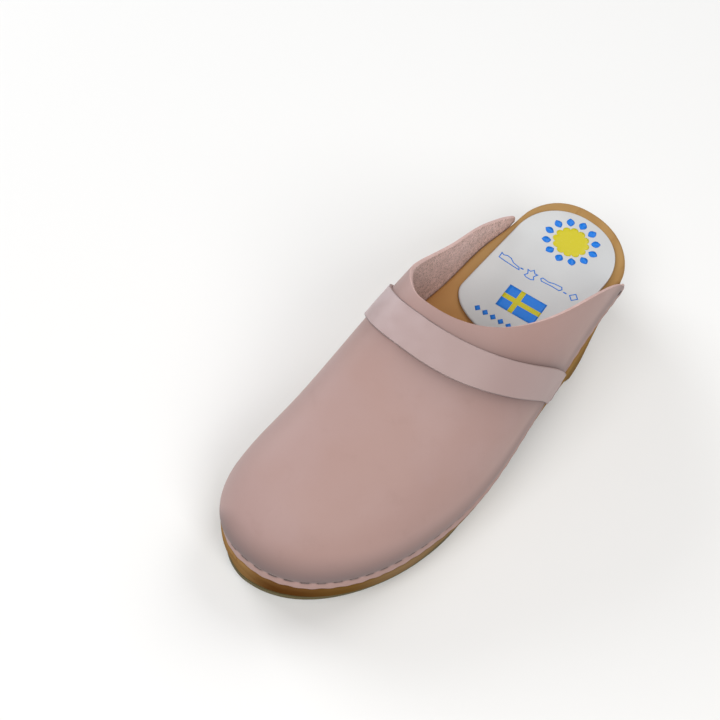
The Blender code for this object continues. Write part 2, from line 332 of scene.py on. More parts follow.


# Tones of the wood, and in metres the heart of its rings and the zones where its tone changes.
# The deep tone is painted shade low on the wood, the olive tone painted shade on its outer flank, and the tan
# tone painted light low on the outer toe.
WOOD_LIGHT, WOOD_MID, WOOD_DARK = (0.415, 0.250, 0.098), (0.335, 0.184, 0.064), (0.205, 0.092, 0.028)
WOOD_SHADE, WOOD_OLIVE_SHADE, WOOD_RED = (0.080, 0.026, 0.004), (0.175, 0.098, 0.026), (0.50, 0.235, 0.085)
WOOD_LIT_TAN = (0.245, 0.160, 0.083)
HEART_SIDE, HEART_HEIGHT, RING_TURN, RING_SWAY = -0.035, -0.085, 1250.0, 7.0
LOW_HEIGHT, LOW_SHADE, INNER_SIDE, INNER_LESS = (0.015, 0.036), 0.94, (-0.006, 0.014), 0.56
OUTER_SIDE, OUTER_HEIGHT, OUTER_SHADE = (0.012, 0.032), (0.036, 0.0445), 0.6
TOE_SIDE, TOE_LIGHT = (0.029, 0.042), 0.85
REDDER_AHEAD, REDDER_HEIGHT, REDDER_SIDE, REDDER_TINT = (-0.070, -0.020), (0.034, 0.039), (0.0, 0.03), 0.6
VARNISH_HEIGHT = (0.040, 0.044)
wood = Finish("varnished_wood", {"Coat Roughness": 0.35, "Coat IOR": 1.4, "Specular IOR Level": 0.0})
x, y, z = (wood.node("ShaderNodeSeparateXYZ", None, {0: wood.place}, axis) for axis in range(3))
long_grain = wood.stretched((1.0, 0.07, 1.0))
heart = ((x - HEART_SIDE) ** 2 + (z - HEART_HEIGHT) ** 2) ** 0.5
sway = wood.noise(26.0, 2.0, 0.5, wood.stretched((1.0, 0.25, 1.0)))
rings = (heart * RING_TURN + sway * RING_SWAY).sine() * 0.5 + 0.5
fibre = wood.noise(900.0, 4.0, 0.6, long_grain)
streak = wood.noise(130.0, 3.0, 0.6, long_grain)
tone = wood.noise(22.0, 2.0)
colour = wood.mix(rings ** 2 * 0.45 + streak * 0.35, WOOD_LIGHT, WOOD_MID)
colour = wood.mix(wood.step(streak * 0.6 + fibre * 0.4, 0.54, 0.72) * 0.55, colour, WOOD_DARK)
colour = wood.mix(wood.step(tone, 0.45, 0.75) * 0.25, colour, WOOD_DARK)
# Painted shade towards the bottom of the wood, with less of it on the inner side, where the light falls.
low_shade = 1.0 - wood.step(z, *LOW_HEIGHT)
inner = wood.step(x * -1.0, *INNER_SIDE)
colour = wood.mix(low_shade * (LOW_SHADE - inner * INNER_LESS), colour, WOOD_SHADE)
# Painted shade on the outer flank, below the top of the rim.
outer = wood.step(x, *OUTER_SIDE) * (1.0 - wood.step(z, *OUTER_HEIGHT))
colour = wood.mix(outer * OUTER_SHADE, colour, WOOD_OLIVE_SHADE)
# Painted light: the low wood at the outer toe is a paler tan.
colour = wood.mix(low_shade * wood.step(x, *TOE_SIDE) * TOE_LIGHT, colour, WOOD_LIT_TAN)
# The top of the wood ahead of the heel, towards the inner side, is redder and lighter.
ahead = wood.step(y * -1.0, *REDDER_AHEAD)
redder_top = ahead * wood.step(z, *REDDER_HEIGHT) * (1.0 - wood.step(x, *REDDER_SIDE))
colour = wood.mix(redder_top * REDDER_TINT, colour, WOOD_RED)
wood.surface(
    colour=colour,
    roughness=fibre * 0.15 + 0.33,
    coat=wood.step(z, *VARNISH_HEIGHT) * (tone * 0.15 + 0.05),
    normal=wood.bump(fibre + streak * 0.6, 0.05, 0.6),
)


def wood_arc(inward, height, radius, turns):
    """Points of a rounded edge between the flank and the top, whose corner is at inward and height."""
    return [
        (inward + radius * (1 - np.cos(turn)), height - radius * (1 - np.sin(turn)))
        for turn in turns
    ]


def smooth_flank(inset, knee, welt, share):
    """Inward distance of the flank at a share of its height: a smooth curve from the ground past the knee."""
    below = (knee - inset) / KNEE_HEIGHT
    above = (-welt - knee) / (1 - KNEE_HEIGHT)
    same = below * above > 0
    lean = np.where(same, 2 * below * above / np.where(same, below + above, 1), 0)
    if share < KNEE_HEIGHT:
        first, last, lean_first, lean_last, width, way = inset, knee, below, lean, KNEE_HEIGHT, share
    else:
        first, last, lean_first, lean_last, width = knee, -welt, lean, above, 1 - KNEE_HEIGHT
        way = share - KNEE_HEIGHT
    t = way / width
    ends = first + (last - first) * (3 - 2 * t) * t**2
    return ends + width * (lean_first * t * (1 - t) ** 2 - lean_last * t**2 * (1 - t))


along = stations(0, LENGTH, WOOD_STATIONS)
breast = np.linspace(HEEL_FRONT, BREAST_TOP, BREAST_STATIONS)
along = np.unique(np.concatenate([along, breast]))
lip, seat, bottom = SIZE["lip"](along), SIZE["seat"](along), underside(along)
knee, welt = SIZE["knee"](along), SIZE["welt"](along)
ledge = np.maximum(WALL + GAP - SIZE["proud"](along), 0) * ease(LEDGE_START, LEDGE_FULL, along)
draft = TOE_DRAFT * ease(FAN_START, LENGTH, along)
quarter = np.linspace(0, np.pi / 2, WOOD_ARC + 1)
rings_of = {}
for side in (1, -1):
    inset = ground_inset(side, along)
    cut = toe_cut(side, along)
    corner = np.clip((ledge + welt - cut) / 2, 0, LEDGE_ROUND)
    profile = [
        (inset + FOOT_ROUND * (1 - np.sin(turn)), bottom + FOOT_ROUND * (1 - np.cos(turn)))
        for turn in quarter
    ]
    for share in np.linspace(0, 1, FLANK_ROWS)[1:-1]:
        rise = (lip - GAP - corner - bottom - FOOT_ROUND) * share
        profile.append((smooth_flank(inset, knee + cut, welt - cut, share), bottom + FOOT_ROUND + rise))
    profile += wood_arc(cut - welt, lip - GAP, corner, quarter)
    profile += [(ledge, lip - GAP)]
    profile += wood_arc(ledge + draft, seat, WOOD_ROUND, quarter)
    rings_of[side] = [flank(side, along, inward, height) for inward, height in profile]
bed = []
for share in np.linspace(1, -1, BED_COLUMNS + 1)[1:-1]:
    row = rings_of[1][-1] * (1 + share) / 2 + rings_of[-1][-1] * (1 - share) / 2
    row[:, 2] -= footbed_drop(along, share)
    bed.append(row)
sole_bottom = [
    rings_of[-1][0] * (1 - share) + rings_of[1][0] * share
    for share in np.linspace(0, 1, BED_COLUMNS + 1)[1:]
]
mesh = bmesh.new()
grid_through(mesh, np.stack(rings_of[1] + bed + rings_of[-1][::-1] + sole_bottom, 1))
close_up(mesh)
sole = new_piece("clog_wooden_sole", mesh, wood)
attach(sole, "root")
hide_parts("wooden_sole")

# Rubber treads: two plates of greyish beige rubber, cut to the wood's outline and glued under heel and
# forepart. Wavy ribs are moulded into the underside, inside a plain border.
FOREPART_TREAD_START, HEEL_TREAD_END = 118.0, 70.0
TREAD_COLUMNS, TREAD_STEP, TREAD_CORNER, TREAD_SHARP = 60, 1.1, 0.5, 50.0
TREAD_BORDER, BORDER_FADE = 5.0, 1.0
RIB_PITCH, RIB_WAVE, RIB_WAVE_PITCH, RIB_DEPTH, RIB_FLANK = 7.0, 2.4, 17.0, 1.1, (0.1, 0.5)
RUBBER_PALE, RUBBER_DARK = (0.15, 0.125, 0.058), (0.08, 0.062, 0.028)

rubber = Finish("tread_rubber", {"Specular IOR Level": 0.1})
speck = rubber.noise(1400.0, 2.0)
cloud = rubber.noise(45.0, 3.0)
rubber.surface(
    colour=rubber.mix(cloud * 0.5 + rubber.step(speck, 0.55, 0.75) * 0.4, RUBBER_PALE, RUBBER_DARK),
    roughness=cloud * 0.2 + 0.62,
    normal=rubber.bump(speck, 0.05, 0.5),
)


def tread(node, start, end):
    """Rubber plate from start to end, with ribs on its underside."""
    along = stations(start, end, round((end - start) / TREAD_STEP))
    top = underside(along) - GAP
    bottom = top - TREAD
    sides = {}
    for side in (1, -1):
        inset = ground_inset(side, along)
        edge = [(inset, top), (inset, bottom + TREAD_CORNER), (inset + TREAD_CORNER, bottom)]
        sides[side] = [flank(side, along, inward, height) for inward, height in edge]
    across = []
    for share in np.linspace(1, -1, TREAD_COLUMNS + 1)[1:-1]:
        row = sides[1][-1] * (1 + share) / 2 + sides[-1][-1] * (1 - share) / 2
        width = np.abs(sides[1][-1][:, 0] - sides[-1][-1][:, 0]) / 2
        from_side = width * (1 - abs(share))
        from_end = np.minimum(row[:, 1] - start, end - row[:, 1])
        plain = 1 - ease(TREAD_BORDER, TREAD_BORDER + BORDER_FADE, np.minimum(from_side, from_end))
        wave = row[:, 1] + RIB_WAVE * np.cos(2 * np.pi * row[:, 0] / RIB_WAVE_PITCH)
        groove = ease(*RIB_FLANK, np.sin(2 * np.pi * wave / RIB_PITCH))
        row[:, 2] += RIB_DEPTH * groove * (1 - plain)
        across.append(row)
    ring = sides[1] + across + sides[-1][::-1]
    mesh = bmesh.new()
    grid_through(mesh, np.stack(ring + [ring[0]], 1))
    bmesh.ops.remove_doubles(mesh, verts=mesh.verts, dist=WELD * MM)
    bmesh.ops.holes_fill(mesh, edges=[edge for edge in mesh.edges if edge.is_boundary])
    close_up(mesh)
    piece = new_piece("clog_" + node, mesh, rubber)
    piece.data.set_sharp_from_angle(angle=math.radians(TREAD_SHARP))
    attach(piece, "root")
    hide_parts(node)


tread("forepart_tread", FOREPART_TREAD_START, LENGTH)
tread("heel_tread", 0.0, HEEL_TREAD_END)

# Upper: one piece of smooth pink leather with a suede inside, pulled over the last. Its lower edge is pressed
# to the ledge by staples, so that it is pinched in above a flared lip, and it is cut raw at the collar.
# Form: fullness of the sections, ridge of the toe, wings and collar.
SIDE_FULLNESS, TOE_FULLNESS, FULLNESS_POWER = 2.4, 3.0, 2
CREST_END, THROAT, RIM_SAMPLES = 206.0, 143.0, 4001
WING_TIP, WING_TAB, TAB_POWER = {1: 28.0, -1: 31.5}, 0.035, 2.5
COLLAR_BACK = 27.0
COLLAR_BOW, COLLAR_LEAN = {1: 4.0, -1: 24.5}, {1: 1.0, -1: 1.5}
UPPER_COLUMNS, UPPER_ROWS, ROW_POWER, COLUMN_POWER = 190, 84, 1.6, 2.8
LEATHER_WELD = 0.06
# Lower edge: staples, the flared and wavy lip, the groove at the staples and the bulge above it.
STAPLE_PITCH, STAPLE_RISE, STAPLE_LENGTH = 7.4, 3.6, 4.4
LIP_FLARE, FLARE_HIGH, FLARE_PINCHED = 0.4, 1.7, 0.4
LIP_WAVE, LIP_UNEVEN, UNEVEN_SHORT, UNEVEN_LONG, WAVE_HIGH = 0.16, 0.34, 2.3, 8.3, 1.5
PINCH, PINCH_TAB, TAB_END = 1.2, 0.35, (40.0, 52.0)
GROOVE_HIGH, GROOVE_BETWEEN = 1.5, 0.62
BULGE, BULGE_RISE, BULGE_HIGH = 0.45, 10.5, 4.5
LIP_TUCK, TUCK_HIGH = 1.1, 3.0
# Cut edge, and the collar that is skived thinner.
CUT_ROUND, CUT_SEGMENTS, CUT_ANGLE = 0.4, 3, 70.0
SKIVED, SKIVED_THROAT, SKIVE_LENGTH = 0.56, 0.85, 12.0
# Painted shade on the leather: above the lip, at the staples and as a cast shadow beside the strap, whose
# edges are given here.
DARK_FROM, DARK_FULL, DARK_HOLD, DARK_TO = 2.0, 3.6, 6.0, 23.0
DARK_SIDE, DARK_SIDE_END, DARK_TOE, DARK_INNER, DARK_FRONT = 0.78, 170.0, 240.0, 0.45, (0.6, 0.97)
DARK_SCALLOP, LIP_DARK = 1.5, 0.12
DENT_DARK, DENT_HIGH, DENT_FADE = 0.5, 0.9, 0.6
STRAP_RIDGE = (148.4, 163.4)
STRAP_RIM = {1: (91.0, 108.5), -1: (110.0, 128.0)}
STRAP_DARK, STRAP_FADE, STRAP_EDGE_SHADOW, EDGE_SHADOW_FADE, STRAP_INNER = 0.58, 7.0, 0.35, 1.2, 0.3
# Soft troughs in the leather, and one ridge: where each lies, its size, and its depth, below 0 in a trough.
TROUGH_COLUMNS = ("side", "position", "length", "width", "angle", "depth")
TROUGHS = (
    (14.0, 178.0, 22.0, 9.0, 25.0, -0.55),
    (27.0, 196.0, 30.0, 8.0, 78.0, 0.35),
    (-20.0, 186.0, 26.0, 10.0, 100.0, -0.35),
    (4.0, 214.0, 24.0, 12.0, 10.0, -0.30),
    (33.0, 84.0, 24.0, 8.0, 80.0, -0.60),
    (-30.0, 92.0, 24.0, 9.0, 95.0, -0.45),
)
# Over faint clouds of real tone, the pink lies towards the inner side and the rose towards the outer: painted
# light from the inner side.
LEATHER_PINK, LEATHER_ROSE = (0.405, 0.268, 0.250), (0.392, 0.250, 0.225)
LEATHER_SHADE, LIP_SHADE = (0.303, 0.188, 0.170), (0.150, 0.100, 0.097)


def ridge_line(side, along):
    """Position on the ridge that a section from the rim runs to, and how far into the toe's fan it is."""
    fan = edge_at(side, "position", FAN_START, "along")
    share = np.clip((along - fan) / (1 - fan), 0, 1)
    power = (1 - fan) * EDGES[side]["length"] / (CREST_END - FAN_START)
    fanned = FAN_START + (CREST_END - FAN_START) * (1 - (1 - share) ** power)
    return np.where(along < fan, edge_at(side, "along", along, "position"), fanned), share


def rim_of_ridge(side, ridge):
    """Where on the rim the section to a position on the ridge starts."""
    along = np.linspace(0, 1, RIM_SAMPLES)
    return np.interp(ridge, ridge_line(side, along)[0], along)


def leather_face(side, along, turn):
    """Plain form of the upper. along runs from heel to toe on the rim, turn from the lip to the ridge."""
    rim_position = edge_at(side, "along", along, "position")
    proud = SIZE["proud"](rim_position)
    across = edge_at(side, "along", along, "side") + proud * edge_at(side, "along", along, "normal_side")
    position = rim_position + proud * edge_at(side, "along", along, "normal_position")
    ridge, share = ridge_line(side, along)
    fullness = SIDE_FULLNESS + (TOE_FULLNESS - SIDE_FULLNESS) * share**FULLNESS_POWER
    inward = 1 - np.cos(turn) ** (2 / fullness)
    upward = np.sin(turn) ** (2 / fullness)
    across = across + (SIZE["crest_side"](ridge) - across) * inward
    position = position + (ridge - position) * inward
    lip = SIZE["lip"](rim_position)
    return np.stack([across, position, lip + (SIZE["crest"](position) - lip) * upward], -1)


def leather_normal(side, along, turn):
    """Direction square to the plain form, outwards."""
    small = 0.002
    turn = np.clip(turn, 2 * small, np.pi / 2 - small)
    ahead = leather_face(side, along + small, turn) - leather_face(side, along - small, turn)
    above = leather_face(side, along, turn + small) - leather_face(side, along, turn - small)
    normal = np.cross(ahead, above) * side
    return normal / np.linalg.norm(normal, axis=-1, keepdims=True)


def collar(side, share):
    """Position of the collar's edge at a share of the way from the lip up to the ridge."""
    lean = COLLAR_LEAN[side]
    fullest = 1 / (1 + lean)
    bow = share * (1 - share) ** lean / (fullest * (1 - fullest) ** lean)
    return COLLAR_BACK + (THROAT - COLLAR_BACK) * share + COLLAR_BOW[side] * bow


def strap_along(side, turn, share):
    """Where on the rim the strap's section starts, at a share of its width from back to front."""
    rim = STRAP_RIM[side][0] + (STRAP_RIM[side][1] - STRAP_RIM[side][0]) * share
    ridge = STRAP_RIDGE[0] + (STRAP_RIDGE[1] - STRAP_RIDGE[0]) * share
    return edge_at(side, "position", rim + (ridge - rim) * np.sin(turn), "along")


def painted_shade_amount(side, along, turn, rise):
    """How much painted shade the leather gets: above the lip and on its edge, in the staple dents, and the
    strap's cast shadow.
    """
    toe = ease(DARK_SIDE_END, DARK_TOE, edge_at(side, "along", along, "position"))
    from_toe = (1 - along) * EDGES[side]["length"]
    from_staple = np.abs((from_toe / STAPLE_PITCH + 0.5) % 1 - 0.5) * STAPLE_PITCH
    front = edge_at(side, "along", along, "normal_position")
    reach = np.where(side < 0, DARK_INNER + (1 - DARK_INNER) * ease(*DARK_FRONT, front), 1)
    # Painted shade on the wall above the lip, its lower edge following the scallops, and a little on the lip
    # itself.
    lower = rise - DARK_SCALLOP * (from_staple / STAPLE_PITCH * 2) ** 2
    wall = ease(DARK_FROM, DARK_FULL, lower) * (1 - ease(DARK_HOLD * reach, DARK_TO * reach, rise))
    wall = wall * (DARK_SIDE + (1 - DARK_SIDE) * toe) + LIP_DARK * (1 - ease(0, DARK_FULL, rise))
    # Painted shade in the dent at each staple.
    dent = 1 - ease(STAPLE_LENGTH / 2 - DENT_FADE, STAPLE_LENGTH / 2 + DENT_FADE, from_staple)
    dent = DENT_DARK * dent * np.exp(-(((rise - STAPLE_RISE) / DENT_HIGH) ** 2))
    # Painted shadow cast by the strap's edges: sharp at the edge, then soft further off.
    ahead = np.maximum((along - strap_along(side, turn, 1)) * EDGES[side]["length"], 0)
    behind = np.maximum((strap_along(side, turn, 0) - along) * EDGES[side]["length"], 0)
    beside = ahead + behind
    strap_shadow = STRAP_DARK * np.exp(-beside / STRAP_FADE) + STRAP_EDGE_SHADOW * np.exp(-beside / EDGE_SHADOW_FADE)
    strap_shadow = strap_shadow * (STRAP_INNER + (1 - STRAP_INNER) * np.cos(turn) ** 0.5 * (side > 0))
    return np.maximum(wall + dent, strap_shadow)


def lip_relief(side, along, rise):
    """How far the lower edge stands out: flared lip, pinched staple line, and soft bulge above it."""
    from_toe = (1 - along) * EDGES[side]["length"]
    pinch = 0.5 + 0.5 * np.cos(2 * np.pi * from_toe / STAPLE_PITCH)
    flare = LIP_FLARE * (1 - FLARE_PINCHED * pinch) * np.exp(-((rise / FLARE_HIGH) ** 2))
    position = edge_at(side, "along", along, "position")
    depth = PINCH * (PINCH_TAB + (1 - PINCH_TAB) * ease(*TAB_END, position))
    depth = depth * (GROOVE_BETWEEN + (1 - GROOVE_BETWEEN) * pinch)
    groove = depth * np.exp(-(((rise - STAPLE_RISE) / GROOVE_HIGH) ** 2))
    bulge = BULGE * np.exp(-(((rise - BULGE_RISE) / BULGE_HIGH) ** 2))
    tuck = LIP_TUCK * toe_cut(side, position) * np.exp(-((rise / TUCK_HIGH) ** 2))
    return flare - groove + bulge - tuck


def leather_skin(side, along, turn, distance=0.0):
    """Points of the leather with its pinched lip, troughs and ridges, or at a distance outside it."""
    face = leather_face(side, along, turn)
    rise = face[..., 2] - SIZE["lip"](edge_at(side, "along", along, "position"))
    relief = lip_relief(side, along, rise)
    for row in TROUGHS:
        crease = dict(zip(TROUGH_COLUMNS, row))
        east = face[..., 0] - crease["side"]
        north = face[..., 1] - crease["position"]
        cosine, sine = math.cos(math.radians(crease["angle"])), math.sin(math.radians(crease["angle"]))
        down = (east * cosine + north * sine) / crease["length"]
        off = (north * cosine - east * sine) / crease["width"]
        relief = relief + crease["depth"] * np.exp(-(down**2) - off**2)
    points = face + (relief + distance)[..., None] * leather_normal(side, along, turn)
    from_toe = (1 - along) * EDGES[side]["length"]
    wave = LIP_WAVE * np.cos(2 * np.pi * from_toe / STAPLE_PITCH)
    wave += LIP_UNEVEN * np.sin(from_toe / UNEVEN_SHORT + side) * np.sin(from_toe / UNEVEN_LONG + side)
    points[..., 2] += wave * np.exp(-rise / WAVE_HIGH)
    return points


def leather_finish(name, pale, deep, shade, gloss, lean, start):
    """Smooth leather: fine grain, clouds of colour, soft gloss, painted light on the inner side and painted
    shade from the mesh.
    """
    specular = 0.42 + gloss * 4
    finish = Finish(name, {"Specular IOR Level": specular, "Sheen Weight": 0.06, "Sheen Roughness": 0.5})
    clouds = finish.noise(24.0, 3.0)
    patches = finish.noise(85.0, 3.0, 0.6)
    pebbles = finish.cells(1150.0)
    pores = finish.noise(3200.0, 2.0)
    side = finish.node("ShaderNodeSeparateXYZ", None, {0: finish.place})
    # Paler towards the inner side and deeper towards the outer, by the lean: painted light, over faint clouds
    # of real tone.
    colour = finish.mix(finish.step(clouds + side * lean, start, start + 0.33), pale, deep)
    colour = finish.mix(finish.step(patches, 0.56, 0.82) * 0.20, colour, shade)
    colour = finish.mix(finish.step(pebbles, 0.55, 0.95) * 0.10, colour, shade)
    # Painted shade read from the mesh's attribute, mixed towards the dark lip tone.
    painted_shade = finish.node("ShaderNodeAttribute", {"attribute_name": "painted_shade"}, None, "Fac")
    colour = finish.mix(painted_shade * 0.9, colour, LIP_SHADE)
    dents = finish.noise(160.0, 2.0)
    fine = finish.bump(pebbles * 0.7 + pores * 0.3, 0.06, 0.35)
    finish.surface(
        colour=colour,
        roughness=patches * 0.14 + (0.50 - gloss),
        normal=finish.bump(dents, 0.30, 0.10, fine),
    )
    return finish


def suede_finish(name, pale, deep, speck):
    """Flesh side of leather: a short nap, mottled where the fibres lie different ways."""
    finish = Finish(name, {"Specular IOR Level": 0.15, "Sheen Weight": 0.25, "Sheen Roughness": 0.6})
    mottle = finish.noise(300.0, 4.0, 0.7)
    nap = finish.noise(1000.0, 3.0, 0.75)
    colour = finish.mix(finish.step(mottle, 0.34, 0.66), pale, deep)
    colour = finish.mix(finish.step(nap, 0.50, 0.60) * 0.8, colour, speck)
    finish.surface(
        colour=colour,
        roughness=nap * 0.1 + 0.86,
        normal=finish.bump(nap * 0.6 + mottle * 0.4, 0.35, 0.8),
    )
    return finish


def cut_edge_finish(name, pale, deep):
    """Raw cut edge of leather, paler than the grain, with fine fibres across it."""
    finish = Finish(name, {"Specular IOR Level": 0.2})
    fibres = finish.noise(1300.0, 3.0, 0.6)
    bands = finish.noise(120.0, 2.0)
    finish.surface(
        colour=finish.mix(finish.step(fibres * 0.6 + bands * 0.4, 0.35, 0.7), pale, deep),
        roughness=fibres * 0.15 + 0.72,
        normal=finish.bump(fibres, 0.12, 0.6),
    )
    return finish


# The lean and start set the painted light: the upper is paler towards its inner side.
upper_grain = leather_finish(
    "upper_leather_grain", LEATHER_PINK, LEATHER_ROSE, LEATHER_SHADE, gloss=0.0, lean=3.5, start=0.35
)
upper_suede = suede_finish(
    "upper_leather_suede", (0.82, 0.58, 0.53), (0.65, 0.44, 0.40), (0.29, 0.165, 0.125)
)
upper_cut = cut_edge_finish("upper_leather_cut_edge", (0.64, 0.455, 0.425), (0.54, 0.365, 0.338))


def leather_wall(piece, thickness):
    """Gives a face of leather its wall inwards, with suede inside and a slightly rounded cut edge."""
    wall = piece.modifiers.new("wall", "SOLIDIFY")
    wall.thickness = thickness * MM
    wall.offset = -1
    wall.vertex_group = "wall"
    wall.material_offset = 1
    wall.material_offset_rim = 2
    rounding = piece.modifiers.new("rounded_cut", "BEVEL")
    rounding.width = CUT_ROUND * MM
    rounding.segments = CUT_SEGMENTS
    rounding.use_clamp_overlap = False
    rounding.limit_method = "ANGLE"
    rounding.angle_limit = math.radians(CUT_ANGLE)


mesh = bmesh.new()
turns = np.pi / 2 * np.linspace(0, 1, UPPER_ROWS + 1) ** ROW_POWER
to_go = np.linspace(1, 0, UPPER_COLUMNS + 1)
ridge = CREST_END - (CREST_END - THROAT) * to_go**COLUMN_POWER
for side in (1, -1):
    rim = rim_of_ridge(side, ridge)
    shares = (rim - rim[0]) / (1 - rim[0])
    height = np.sin(turns)
    tab_end = np.minimum(height / WING_TAB, 1) ** TAB_POWER
    tab = WING_TIP[side] + (collar(side, WING_TAB) - WING_TIP[side]) * tab_end
    back_edge = np.where(height < WING_TAB, tab, collar(side, height))
    start = edge_at(side, "position", back_edge, "along")
    along = start[None, :] + (1 - start[None, :]) * shares[:, None]
    turn = np.broadcast_to(turns, along.shape)
    points = leather_skin(side, along, turn)
    lip = SIZE["lip"](edge_at(side, "along", along, "position"))
    rise = leather_face(side, along, turn)[..., 2] - lip
    from_collar = (along - start[None, :]) * EDGES[side]["length"]
    at_collar = SKIVED + (SKIVED_THROAT - SKIVED) * height
    skive = at_collar + (1 - at_collar) * ease(0, SKIVE_LENGTH, from_collar)
    wall = np.clip(skive + lip_relief(side, along, rise) / WALL, 0, 1)
    grid_through(mesh, points, wall, painted_shade_amount(side, along, turn, rise))
close_up(mesh, LEATHER_WELD)
upper = new_piece("clog_upper", mesh, upper_grain, upper_suede, upper_cut)
upper.vertex_groups.new(name="wall")
leather_wall(upper, WALL)
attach(upper, "root")
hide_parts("upper")

# Instep strap: a band of paler leather laid over the upper in front of the collar, with raw cut edges.
# Its two ends lie on the lip and are stapled down with the upper.
STRAP_THICK, STRAP_LIFT, STRAP_ROWS, STRAP_COLUMNS = 1.6, 0.1, 70, 24
STRAP_END, STRAP_CORNER, STRAP_CORNER_POWER = 0.006, 0.03, 6
# Over faint clouds of real tone, the strap is painted paler and cooler towards its inner side as a painted
# sheen and light, and deeper towards the outer.
STRAP_PINK, STRAP_ROSE, STRAP_SHADE = (0.495, 0.382, 0.392), (0.374, 0.264, 0.254), (0.31, 0.21, 0.205)

strap_grain = leather_finish(
    "strap_leather_grain", STRAP_PINK, STRAP_ROSE, STRAP_SHADE, gloss=0.05, lean=6.0, start=0.22
)
strap_suede = suede_finish(
    "strap_leather_suede", (0.42, 0.30, 0.28), (0.32, 0.22, 0.20), (0.26, 0.17, 0.15)
)
strap_cut = cut_edge_finish("strap_leather_cut_edge", (0.50, 0.365, 0.345), (0.43, 0.30, 0.28))

mesh = bmesh.new()
climb = np.linspace(0, 1, STRAP_ROWS + 1) ** ROW_POWER
width = (1 - np.cos(np.linspace(0, np.pi, STRAP_COLUMNS + 1))) / 2
for side in (1, -1):
    climbed, share = np.meshgrid(climb, width, indexing="ij")
    end = STRAP_END + STRAP_CORNER * np.abs(2 * share - 1) ** STRAP_CORNER_POWER
    turn = end + (np.pi / 2 - end) * climbed
    points = leather_skin(side, strap_along(side, turn, share), turn, STRAP_LIFT + STRAP_THICK)
    grid_through(mesh, points, np.ones(points.shape[:2]))
close_up(mesh, LEATHER_WELD)
strap = new_piece("clog_strap", mesh, strap_grain, strap_suede, strap_cut)
strap.vertex_groups.new(name="wall")
leather_wall(strap, STRAP_THICK)
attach(strap, "root")
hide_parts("strap")

# Staples: short bars of dull steel wire, driven through the leather into the wood in one row above the lip.
# Each is pressed into the leather, and those over the strap's ends hold the strap as well.
STAPLE_WIDE, STAPLE_THICK, STAPLE_SINK, STAPLE_BEND = 1.0, 0.8, 0.1, 0.45
BEND_POWER, TAPER_POWER, STAPLE_POINTS, WIRE_POINTS, STAPLE_WELD = 4, 12, 9, 9, 0.005
STAPLE_FIRST, TAB_STAPLE, STRAP_MARGIN = 44.0, {1: 34.5, -1: 38.5}, 1.0
LIP_TURN, LIP_SAMPLES = 0.3, 61

steel = Finish("staple_steel", {"Metallic": 1.0})
tarnish = steel.noise(420.0, 3.0)
steel.surface(
    # The steel is darker than bare steel: dull tarnish, and painted shade of the grooves that the staples lie
    # in.
    colour=steel.mix(tarnish, (0.24, 0.19, 0.18), (0.10, 0.075, 0.07)),
    roughness=tarnish * 0.25 + 0.35,
    normal=steel.bump(tarnish, 0.03, 0.5),
)


def on_lip(walk):
    """Point and outward direction on the staple line, at a walk from the toe tip, outer side positive."""
    side = 1 if walk >= 0 else -1
    along = 1 - abs(walk) / EDGES[side]["length"]
    turns = np.linspace(0, LIP_TURN, LIP_SAMPLES)
    heights = leather_face(side, np.full_like(turns, along), turns)[:, 2]
    turn = np.full(1, np.interp(heights[0] + STAPLE_RISE, heights, turns))
    position = edge_at(side, "along", along, "position")
    covered = STRAP_RIM[side][0] - STRAP_MARGIN < position < STRAP_RIM[side][1] + STRAP_MARGIN
    distance = STRAP_LIFT + STRAP_THICK if covered else 0.0
    here = np.full(1, along)
    return leather_skin(side, here, turn, distance)[0], leather_normal(side, here, turn)[0]


def walk_to(side, position):
    """Walk along the rim from the toe tip to a position, outer side positive."""
    return side * (1 - edge_at(side, "position", position, "along")) * EDGES[side]["length"]


mesh = bmesh.new()
shares = np.linspace(-1, 1, STAPLE_POINTS)
round_wire = np.linspace(0, 2 * np.pi, WIRE_POINTS)
inner_last, outer_last = (int(walk_to(side, STAPLE_FIRST) / STAPLE_PITCH) for side in (-1, 1))
walks = [STAPLE_PITCH * count for count in range(inner_last, outer_last + 1)]
walks += [walk_to(side, TAB_STAPLE[side]) for side in (1, -1)]
for walk in walks:
    spots = [on_lip(walk + share * STAPLE_LENGTH / 2) for share in shares]
    run = np.gradient(np.array([spot for spot, _ in spots]), axis=0)
    bar = []
    for share, (spot, out), ahead in zip(shares, spots, run):
        across = np.cross(out, ahead / np.linalg.norm(ahead))
        spot = spot + out * (STAPLE_THICK / 2 - STAPLE_SINK - STAPLE_BEND * share**BEND_POWER)
        taper = (1 - share**TAPER_POWER) ** 0.5
        wide, thick = across * taper * STAPLE_WIDE / 2, out * taper * STAPLE_THICK / 2
        bar.append([spot + wide * math.cos(turn) + thick * math.sin(turn) for turn in round_wire])
    grid_through(mesh, np.array(bar))
close_up(mesh, STAPLE_WELD)
staples = new_piece("clog_staples", mesh, steel)
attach(staples, "root")

# Heel pad: a thin white coated pad, round at both ends, cut out and glued on the dished heel seat.
# Its rim is rounded off on top.
PAD_THICK = 1.4
PAD_BACK, PAD_FRONT = 6.5, 99.0
PAD_ROUND_BACK, PAD_ROUND_FRONT, PAD_POWER = 38.0, 85.0, 2.2
PAD_HALF, PAD_MIDDLE, PAD_LEAN = 27.0, -4.6, 0.035
PAD_COLUMNS, PAD_STATIONS, PAD_RIM = 40, 90, 0.7
WOOD_EDGE, NO_LENGTH = 3.0, 1e-6

coating = Finish("pad_coating", {"Specular IOR Level": 0.45})
weave = coating.noise(900.0, 2.0)
shade = coating.noise(30.0, 2.0)
coating.surface(
    colour=coating.mix(coating.step(shade, 0.3, 0.7), (0.555, 0.565, 0.575), (0.515, 0.522, 0.532)),
    roughness=weave * 0.12 + 0.34,
    normal=coating.bump(weave, 0.05, 0.4),
)


